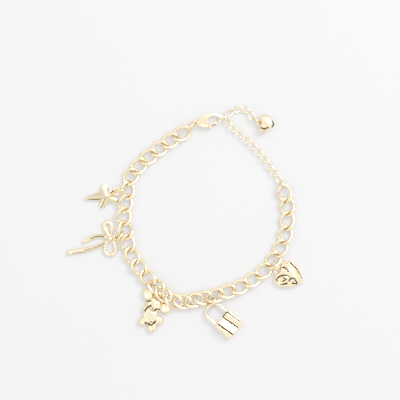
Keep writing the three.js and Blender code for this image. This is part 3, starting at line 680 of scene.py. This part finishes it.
class BRACELET_OT_bow(bpy.types.Operator):
    """Bow of thick ribbon, with two loops, two tails and a round knot"""
    bl_idname = "bracelet.bow"
    bl_label = "Bow"

    def execute(self, context):
        form, wire = context.scene.bracelet_charms, context.scene.bracelet_wire
        bm = bmesh.new()
        for strand in BOW_STRANDS:
            points = [(x * form.bow_span, y * form.bow_span) for x, y in strand["points"]]
            widths = [w * form.bow_ribbon / 2 for w in strand["width"]]
            ribbon(bm, points, widths, form.bow_thickness, form.bow_thickness / 2)
        end = BOW_STRANDS[3]["points"][-1]
        ball(bm, end[0] * form.bow_span, end[1] * form.bow_span, form.bow_thickness * 0.5,
             form.bow_ribbon * 0.8, form.bow_thickness * 0.55)
        knot_height = form.bow_thickness + 0.9
        ball(bm, 0, 0, knot_height * 0.4, form.bow_knot / 2, knot_height * 0.6)
        out = form.bow_knot / 2 + wire.eye / 2 - 0.3
        bmesh.ops.translate(bm, vec=(-out, 0, 0), verts=bm.verts)
        eye(bm, wire)
        bm = fused(bm, voxel=0.1, passes=4)
        bm.normal_update()
        # Lines of painted shade along the two tails
        for strand in BOW_STRANDS[2:]:
            line = [(x * form.bow_span - out, y * form.bow_span) for x, y in strand["points"][1:-1]]
            groove(bm, line, 0.24, 0.12)
        cut_flat(bm)
        shade(bm, sharp_angle=SHARP)
        seat(bm, "bow")
        piece(bm, "bow_charm", gold("bow gold", warmth=0.05), "bow")
        return {"FINISHED"}


# Lobes as shares of the bear's height from its head's centre; high is a share of its thickness
BEAR_LOBES = (
    {"name": "head", "at": (0, 0), "radius": 0.205, "high": 1},
    {"name": "muzzle", "at": (-0.035, -0.085), "radius": 0.085, "high": 1.18},
    {"name": "left ear", "at": (-0.145, 0.25), "radius": 0.15, "high": 0.72},
    {"name": "right ear", "at": (0.275, -0.075), "radius": 0.15, "high": 0.72},
    {"name": "belly", "at": (-0.09, -0.265), "radius": 0.19, "high": 0.98},
    {"name": "left arm", "at": (-0.2, -0.09), "radius": 0.09, "high": 0.72},
    {"name": "right arm", "at": (0.12, -0.375), "radius": 0.11, "high": 0.72},
    {"name": "left leg", "at": (-0.275, -0.41), "radius": 0.11, "high": 0.76},
    {"name": "right leg", "at": (-0.05, -0.545), "radius": 0.125, "high": 0.76},
)
# Creases between its limbs, darkened with painted shade, from the middle of its head, in millimetres
BEAR_CREASES = (
    ((-3.2, -2.1), (-2.5, -1.0), (-1.1, -0.2)), ((0.1, -2.0), (0.8, -1.5), (1.8, -1.6)),
    ((-3.2, -6.3), (-2.1, -6.6), (-1.0, -7.1), (0.4, -5.7)), ((3.2, -3.1), (4.1, -3.8), (5.0, -4.1)),
    ((-2.9, 1.3), (-1.2, 1.4)), ((1.5, -7.3), (2.2, -8.0)),
)
# Direction from the bear's head to its eye
BEAR_CROWN = math.radians(52)


class BRACELET_OT_bear(bpy.types.Operator):
    """Puffed teddy bear, hung from between its ears"""
    bl_idname = "bracelet.bear"
    bl_label = "Bear"

    def execute(self, context):
        form, wire = context.scene.bracelet_charms, context.scene.bracelet_wire
        size = form.bear_height
        out = BEAR_LOBES[0]["radius"] * size + wire.eye / 2 - 1.0
        hang = -out * Vector((math.cos(BEAR_CROWN), math.sin(BEAR_CROWN)))
        bm = bmesh.new()
        centres = {}
        for lobe in BEAR_LOBES:
            x, y = (share * size + offset for share, offset in zip(lobe["at"], hang))
            centres[lobe["name"]] = (x, y)
            tall = form.bear_thickness * lobe["high"]
            ball(bm, x, y, tall * 0.4, lobe["radius"] * size, tall * 0.6)
        eye(bm, wire)
        bm = fused(bm, voxel=0.11, passes=14)
        bm.normal_update()
        for ear in ("left ear", "right ear"):
            dent(bm, *centres[ear], 1.5, 0.6)
        brow = Vector((0.36, 0.93)).normalized()
        side = Vector((brow.y, -brow.x))
        head = Vector(centres["head"])
        for way in (-1, 1):
            dent(bm, *(head + side * way * 0.95 + brow * 0.35), 0.34, 0.34)
        muzzle = Vector(centres["muzzle"])
        dent(bm, *(muzzle + brow * 0.35), 0.42, -0.2)
        # A line of painted shade under the muzzle
        groove(bm, [tuple(muzzle + brow * 0.1), tuple(muzzle - brow * 0.55)], 0.16, 0.12)
        dent(bm, *centres["belly"], 2.7, 0.45)
        for paw in ("left leg", "right leg"):
            dent(bm, *centres[paw], 0.85, 0.22)
        for crease in BEAR_CREASES:
            groove(bm, [tuple(head + Vector(p)) for p in crease], 0.34, 0.3)
        cut_flat(bm)
        shade(bm, sharp_angle=SHARP)
        seat(bm, "bear")
        piece(bm, "bear_charm", gold("bear gold", gloss=0.05, warmth=0.02), "bear")
        return {"FINISHED"}


# Raised bands, from and to as shares of the padlock's width, with their tilt in degrees
PADLOCK_BANDS = (
    {"across": (-0.46, -0.305), "tilt": 3}, {"across": (-0.245, 0.09), "tilt": -7},
    {"across": (0.15, 0.385), "tilt": 2},
)
# Lines of painted shade between the bands, from the middle of the padlock's body, in millimetres
PADLOCK_LINES = (
    ((-3.1, -2.1), (0, -2.1), (3.0, -2.1)), ((-2.9, 0.9), (0, 0.9), (3.1, 0.9)),
    ((-3.3, 1.1), (-3.35, 2.0), (-3.2, 3.0), (0, 3.15), (3.0, 3.15)),
)
PADLOCK_SKEW = math.radians(6)
PADLOCK_TURN = math.radians(-41)
# Height of its raised bands, their margin at each end, and where the shackle lies, in millimetres
BAND_HEIGHT = 0.8
BAND_MARGIN = 0.5
SHACKLE_LEVEL = 1.5
SHACKLE_SUNK = 0.8
SHACKLE_PLAY = 0.14
SHACKLE_STEPS = 24
# Where the jump ring holds the shackle's bend
SHACKLE_HOLD = math.radians(35)


class BRACELET_OT_padlock(bpy.types.Operator):
    """Padlock with three raised bands across its front"""
    bl_idname = "bracelet.padlock"
    bl_label = "Padlock"

    def execute(self, context):
        form, wire = context.scene.bracelet_charms, context.scene.bracelet_wire
        radius = (form.shackle_width - form.shackle_wire) / 2
        hold = radius - (form.shackle_wire + wire.ring) / 2 - SHACKLE_PLAY
        bend = Vector((math.cos(SHACKLE_HOLD) * hold, -math.sin(SHACKLE_HOLD) * hold, SHACKLE_LEVEL))
        shoulder = bend.x + form.shackle_reach
        middle = Vector((shoulder + form.lock_height / 2, bend.y, 0))
        bm = bmesh.new()
        cube = bmesh.ops.create_cube(bm, size=1)["verts"]
        bmesh.ops.scale(bm, vec=(form.lock_height, form.lock_width, form.lock_thickness), verts=cube)
        bmesh.ops.translate(bm, vec=middle + UP * form.lock_thickness / 2, verts=cube)
        upright = [e for e in bm.edges if abs(e.verts[0].co.z - e.verts[1].co.z) > 1]
        bmesh.ops.bevel(
            bm, geom=upright, offset=0.8, offset_type="OFFSET", affect="EDGES", segments=5, profile=0.5,
            material=-1)
        rims = [e for e in bm.edges if abs(e.verts[0].co.z - e.verts[1].co.z) < 0.01]
        bmesh.ops.bevel(
            bm, geom=rims, offset=0.35, offset_type="OFFSET", affect="EDGES", segments=4, profile=0.5,
            material=-1)
        skew = Matrix.Rotation(PADLOCK_SKEW, 3, "Z")
        for band in PADLOCK_BANDS:
            bar = bmesh.ops.create_cube(bm, size=1)["verts"]
            low, high = (share * form.lock_width for share in band["across"])
            long = form.lock_height - 2 * BAND_MARGIN
            bmesh.ops.scale(bm, vec=(long, high - low, BAND_HEIGHT), verts=bar)
            edges = wire_edges(bar)
            tilt = Matrix.Rotation(math.radians(band["tilt"]), 3, "X")
            bmesh.ops.rotate(bm, matrix=tilt, verts=bar)
            bmesh.ops.translate(bm, vec=(0, (low + high) / 2, 0), verts=bar)
            bmesh.ops.rotate(bm, matrix=skew, verts=bar)
            bmesh.ops.translate(bm, vec=middle + UP * form.lock_thickness, verts=bar)
            bmesh.ops.bevel(
                bm, geom=edges, offset=0.12, offset_type="OFFSET", affect="EDGES", segments=2, profile=0.5,
                material=-1)
        half = form.shackle_wire / 2
        leg = Vector((form.shackle_reach + SHACKLE_SUNK, radius, 0))
        stations = [station(bend + leg, Vector((-1, 0, 0)), half, half)]
        for i in range(SHACKLE_STEPS + 1):
            a = math.pi / 2 + math.pi * i / SHACKLE_STEPS
            centre = bend + Vector((math.cos(a), math.sin(a), 0)) * radius
            stations.append(station(centre, Vector((-math.sin(a), math.cos(a), 0)), half, half))
        leg.y = -radius
        stations.append(station(bend + leg, Vector((1, 0, 0)), half, half))
        sweep(bm, stations)
        bm = fused(bm, voxel=0.075, passes=1)
        bm.normal_update()
        for line in PADLOCK_LINES:
            groove(bm, [tuple((skew @ Vector((*p, 0)) + middle).xy) for p in line], 0.32, 0.1)
        shade(bm)
        seat(bm, "padlock", PADLOCK_TURN)
        piece(bm, "padlock_charm", gold("padlock gold", gloss=0.05), "padlock")
        return {"FINISHED"}


# How blunt a heart's tip is, the points on each of its curves, and the middle of its crown along it
HEART_BLUNT = 0.92
HEART_STEPS = 12
HEART_MIDDLE = 0.42
HEART_CLEFT = 0.15


def heart_points(long, wide, inset=0.0):
    """A heart's outline in plan, its cleft near the origin's side and its tip along X"""
    def at(x, y):
        return Vector((inset + x * (long - 2 * inset), y * (wide - 2 * inset), 0))
    lobe = (
        (at(HEART_CLEFT, 0), at(0.04, -0.08), at(-0.06, -0.5), at(0.31, -0.5)),
        (at(0.31, -0.5), at(0.61, -0.5), at(HEART_BLUNT, -0.15), at(1, 0)),
    )
    half = []
    for a, b, c, d in lobe:
        for i in range(HEART_STEPS):
            t = i / HEART_STEPS
            half.append(a * (1 - t) ** 3 + b * 3 * t * (1 - t) ** 2 + c * 3 * t * t * (1 - t) + d * t ** 3)
    other = [Vector((p.x, -p.y, 0)) for p in reversed(half[1:])]
    return [*half, at(1, 0), *other]


def plate(bm, outline):
    return bm.faces.new([bm.verts.new(p) for p in outline])


def crowned(bm, face, centre, rings, way=1):
    """Builds a crown of rings on a face, each given by its scale about a centre and its height"""
    height = 0.0
    for scale, level in rings:
        made = bmesh.ops.extrude_face_region(bm, geom=[face])["geom"]
        face = next(f for f in made if isinstance(f, bmesh.types.BMFace))
        bmesh.ops.translate(bm, vec=-centre, verts=face.verts)
        bmesh.ops.scale(bm, vec=(scale, scale, 1), verts=face.verts)
        bmesh.ops.translate(bm, vec=centre + UP * (level - height) * way, verts=face.verts)
        height = level


def closed_bar(bm, outline, radius, height):
    """Runs a round bar along a closed outline"""
    stations = []
    for i, point in enumerate(outline):
        ahead, behind = outline[(i + 1) % len(outline)], outline[i - 1]
        tangent = (ahead - behind).normalized()
        stations.append(station(point + UP * height, tangent, radius, radius))
    sweep(bm, stations, 12, closed=True)


# Raised scrolls by centre as shares of the heart, start and sweep in degrees, radius in millimetres
HEART_SCROLLS = (
    {"at": (0.36, 0.2), "start": 60, "sweep": 250, "radius": 1.1},
    {"at": (0.36, -0.2), "start": -60, "sweep": -250, "radius": 1.1},
    {"at": (0.62, 0), "start": -110, "sweep": 220, "radius": 0.95},
)
SCROLL_STEPS = 6
HEART_RIM = 0.5
HEART_TURN = math.radians(-27)
# Engraved lines on the heart, darkened with painted shade, from its eye, in millimetres
HEART_LINES = (
    ((3.7, -0.4), (2.4, -0.9), (1.4, -2.0), (1.1, -3.3), (2.3, -3.9), (3.8, -3.7), (4.9, -2.7)),
    ((0.9, 1.2), (1.7, 1.8), (2.7, 1.5), (3.5, 1.1)),
    ((5.2, -1.0), (6.0, -0.2), (7.4, -0.7), (8.0, -1.3), (6.5, -1.9)),
    ((2.3, 4.3), (5.5, 3.4), (8.6, 1.1)),
    ((2.8, -1.6), (3.9, -1.6), (3.3, -2.8)), ((4.1, -0.4), (5.0, -0.7), (5.2, -1.8)),
)


class BRACELET_OT_heart(bpy.types.Operator):
    """Domed heart with a rim and raised scrolls"""
    bl_idname = "bracelet.heart"
    bl_label = "Heart"

    def execute(self, context):
        form, wire = context.scene.bracelet_charms, context.scene.bracelet_wire
        long, wide, thick = form.heart_length, form.heart_width, form.heart_thickness
        bm = bmesh.new()
        centre = Vector((HEART_MIDDLE * long, 0, 0))
        rings = [(1, thick), (0.84, thick), (0.86, thick + 0.12), (0.8, thick + 0.25), (0.7, thick + 0.35)]
        crowned(bm, plate(bm, heart_points(long, wide)), centre, rings)
        closed_bar(bm, heart_points(long, wide, inset=0.75), HEART_RIM, thick)
        for scroll in HEART_SCROLLS:
            x, y = scroll["at"][0] * long, scroll["at"][1] * wide
            points = []
            for i in range(SCROLL_STEPS + 1):
                a = math.radians(scroll["start"] + scroll["sweep"] * i / SCROLL_STEPS)
                shrink = scroll["radius"] * (1 - 0.35 * i / SCROLL_STEPS)
                points.append((x + shrink * math.cos(a), y + shrink * math.sin(a)))
            ribbon(bm, points, (0.2, 0.34, 0.36, 0.3, 0.16), 0.8, thick + 0.1)
            ball(bm, *points[-1], thick + 0.1, 0.42, 0.42, 20)
        seat_shift = wire.eye / 2 - 0.35 - HEART_CLEFT * long
        bmesh.ops.translate(bm, vec=(seat_shift, 0, 0), verts=bm.verts)
        eye(bm, wire)
        bm = fused(bm, voxel=0.085, passes=2)
        bm.normal_update()
        for line in HEART_LINES:
            groove(bm, line, 0.34, 0.14)
        shade(bm)
        seat(bm, "heart", HEART_TURN)
        piece(bm, "heart_charm", gold("heart gold", gloss=0.04), "heart")
        return {"FINISHED"}


# Lines of painted shade on the end drop, from its eye, in millimetres
DROP_LINES = (((0.9, -1.7), (2.1, -1.9), (3.3, -1.2)), ((4.6, 1.2), (5.1, 0.2), (4.8, -0.9)))
DROP_TURN = math.radians(-8)
DROP_EYE = 2.0
DROP_EYE_WIRE = 0.5
# How its sides bulge: 1 is a ball's side, and less is fuller
DROP_FULLNESS = 0.55


class BRACELET_OT_drop(bpy.types.Operator):
    """Small puffed heart on the extender's end"""
    bl_idname = "bracelet.drop"
    bl_label = "End drop"

    def execute(self, context):
        form = context.scene.bracelet_charms
        long, wide, thick = form.drop_length, form.drop_width, form.drop_thickness
        bm = bmesh.new()
        steps = 12
        centre = Vector((HEART_MIDDLE * long, 0, 0))
        angles = [math.pi / 2 * k / steps for k in range(steps)]
        rings = [
            ((math.cos(b) / math.cos(a)) ** DROP_FULLNESS, math.sin(b) * thick / 2)
            for a, b in zip(angles, angles[1:])]
        rings.append((0.25, thick / 2))
        middle = plate(bm, heart_points(long, wide))
        crowned(bm, middle, centre, rings)
        crowned(bm, middle, centre, rings, way=-1)
        bmesh.ops.translate(bm, vec=(0, 0, thick / 2), verts=bm.verts)
        seat_shift = DROP_EYE / 2 - 0.25 - HEART_CLEFT * long
        bmesh.ops.translate(bm, vec=(seat_shift, 0, 0), verts=bm.verts)
        torus(bm, (0, 0, thick / 2 - 0.4), (DROP_EYE - DROP_EYE_WIRE) / 2, DROP_EYE_WIRE)
        bm = fused(bm, voxel=0.09, passes=8)
        bm.normal_update()
        for line in DROP_LINES:
            groove(bm, line, 0.34, 0.1)
        shade(bm)
        seat(bm, "end_drop", DROP_TURN)
        piece(bm, "end_drop_charm", gold("drop gold", gloss=0.06), "end_drop")
        return {"FINISHED"}


# Studio


# Brightness of the room by height, from the horizon at 0 to straight above at 1
SKY_STEPS = ((0.12, 0.9), (0.3, 0.72), (0.42, 0.85), (0.55, 1.0), (0.72, 1.3), (0.87, 1.08), (0.95, 0.97))
# Directions of a dark card and of a bright box, with the angles at which they begin and are full
CARD = {"way": (0.05, -0.74, 0.67), "angles": (11, 8), "colour": (0.03, 0.025, 0.02, 1)}
BOX = {"way": (0.139, 0.198, 0.970), "angles": (11, 6), "colour": (1.7, 1.75, 1.9, 1)}


def patch(tree, place, under, panel, height):
    """Lays a soft-edged round panel, seen in one direction, over a sky colour"""
    facing = add_node(tree, "ShaderNodeVectorMath", (-700, height), operation="DOT_PRODUCT")
    facing.inputs[1].default_value = panel["way"]
    start, full = (math.cos(math.radians(angle)) for angle in panel["angles"])
    edge = add_node(tree, "ShaderNodeMapRange", (-500, height), From_Min=start, From_Max=full)
    laid = add_node(tree, "ShaderNodeMix", (-200, height), data_type="RGBA", B=panel["colour"])
    tree.links.new(place.outputs["Generated"], facing.inputs[0])
    tree.links.new(facing.outputs["Value"], edge.inputs["Value"])
    tree.links.new(edge.outputs["Result"], laid.inputs["Factor"])
    tree.links.new(under, laid.inputs["A"])
    return laid.outputs["Result"]


def sky():
    """Soft white room light, with a bright box overhead and a dark card low in front"""
    world = bpy.data.worlds.new("room light")
    bpy.context.scene.world = world
    world.use_nodes = True
    tree = world.node_tree
    links = tree.links
    glow = tree.nodes["Background"]
    glow.inputs["Strength"].default_value = bpy.context.scene.bracelet_studio.sky
    place = add_node(tree, "ShaderNodeTexCoord", (-900, 0))
    split = add_node(tree, "ShaderNodeSeparateXYZ", (-700, 0))
    ramp = add_node(tree, "ShaderNodeValToRGB", (-500, 0))
    steps = ramp.color_ramp.elements
    steps[0].position, steps[0].color = 0.0, (0.6, 0.56, 0.5, 1)
    steps[1].position, steps[1].color = 1.0, (1.0, 1.0, 1.0, 1)
    for position, value in SKY_STEPS:
        steps.new(position).color = (value, value, value * 0.99, 1)
    links.new(place.outputs["Generated"], split.inputs["Vector"])
    links.new(split.outputs["Z"], ramp.inputs["Fac"])
    boxed = patch(tree, place, ramp.outputs["Color"], BOX, 300)
    links.new(patch(tree, place, boxed, CARD, -300), glow.inputs["Color"])


def table_material():
    material = bpy.data.materials.new("pale table")
    material.use_nodes = True
    tree = material.node_tree
    shader = tree.nodes["Principled BSDF"]
    shader.inputs["Roughness"].default_value = 0.7
    shader.inputs["Specular IOR Level"].default_value = 0.1
    shader.inputs["Emission Color"].default_value = (0.99, 0.99, 1, 1)
    shader.inputs["Emission Strength"].default_value = bpy.context.scene.bracelet_studio.glow
    base = Vector(bpy.context.scene.bracelet_studio.table)
    place = add_node(tree, "ShaderNodeTexCoord", (-900, 0))
    noise = add_node(tree, "ShaderNodeTexNoise", (-700, 0), Scale=14.0, Detail=2.0)
    tint = add_node(
        tree, "ShaderNodeMix", (-400, 0), data_type="RGBA", A=(*base, 1), B=(*(base * 0.985), 1))
    tree.links.new(place.outputs["Object"], noise.inputs["Vector"])
    tree.links.new(noise.outputs["Fac"], tint.inputs["Factor"])
    tree.links.new(tint.outputs["Result"], shader.inputs["Base Color"])
    return material


def area_light(name, place, size, energy, tint=(1, 1, 1)):
    lamp = bpy.data.lights.new(name, "AREA")
    lamp.shape = "DISK"
    lamp.size = size
    lamp.energy = energy
    lamp.color = tint
    made = bpy.data.objects.new(name, lamp)
    made.location = place
    made.rotation_euler = (-Vector(place)).to_track_quat("-Z", "Y").to_euler()
    bpy.context.scene.collection.objects.link(made)


class BRACELET_OT_stage(bpy.types.Operator):
    """Table, soft light and the camera straight above"""
    bl_idname = "bracelet.stage"
    bl_label = "Stage"

    def execute(self, context):
        studio = context.scene.bracelet_studio
        context.scene.view_settings.view_transform = "Standard"
        sky()
        bm = bmesh.new()
        bmesh.ops.create_grid(bm, x_segments=1, y_segments=1, size=3)
        bmesh.ops.translate(bm, vec=(0, 0, -0.00002), verts=bm.verts)
        mesh = bpy.data.meshes.new("table")
        bm.to_mesh(mesh)
        bm.free()
        mesh.materials.append(table_material())
        table = bpy.data.objects.new("table", mesh)
        context.scene.collection.objects.link(table)
        area_light("window", (0.55, 0.5, 0.75), 0.5, 6.5 * studio.key, (1, 0.985, 0.96))
        lens = bpy.data.cameras.new("camera")
        lens.sensor_width = 36
        lens.lens = lens.sensor_width * studio.distance / (studio.frame * MM)
        lens.clip_start, lens.clip_end = 0.01, 20
        camera = bpy.data.objects.new("camera", lens)
        camera.location = (*studio.middle, studio.distance)
        context.scene.collection.objects.link(camera)
        context.scene.camera = camera
        return {"FINISHED"}


class BRACELET_PT_panel(bpy.types.Panel):
    """Lists the pieces of the bracelet"""
    bl_idname = "BRACELET_PT_panel"
    bl_label = "Charm bracelet"
    bl_space_type = "VIEW_3D"
    bl_region_type = "UI"
    bl_category = "Bracelet"

    def draw(self, context):
        for operator in OPERATORS:
            self.layout.operator(operator.bl_idname)
        for name, group in GROUPS.items():
            box = self.layout.box()
            for key in group.__annotations__:
                box.prop(getattr(context.scene, name), key)


OPERATORS = (
    BRACELET_OT_stage, BRACELET_OT_links, BRACELET_OT_rings, BRACELET_OT_extender, BRACELET_OT_clasp,
    BRACELET_OT_star, BRACELET_OT_bow, BRACELET_OT_bear, BRACELET_OT_padlock, BRACELET_OT_heart,
    BRACELET_OT_drop,
)


def register():
    for group in GROUPS.values():
        bpy.utils.register_class(group)
    for name, group in GROUPS.items():
        setattr(bpy.types.Scene, name, PointerProperty(type=group))
    for kind in (*OPERATORS, BRACELET_PT_panel):
        bpy.utils.register_class(kind)


def unregister():
    for kind in (BRACELET_PT_panel, *reversed(OPERATORS)):
        bpy.utils.unregister_class(kind)
    for name, group in reversed(GROUPS.items()):
        delattr(bpy.types.Scene, name)
        bpy.utils.unregister_class(group)


def main():
    register()
    for operator in OPERATORS:
        getattr(bpy.ops.bracelet, operator.bl_idname.split(".")[1])()


if __name__ == "__main__":
    main()
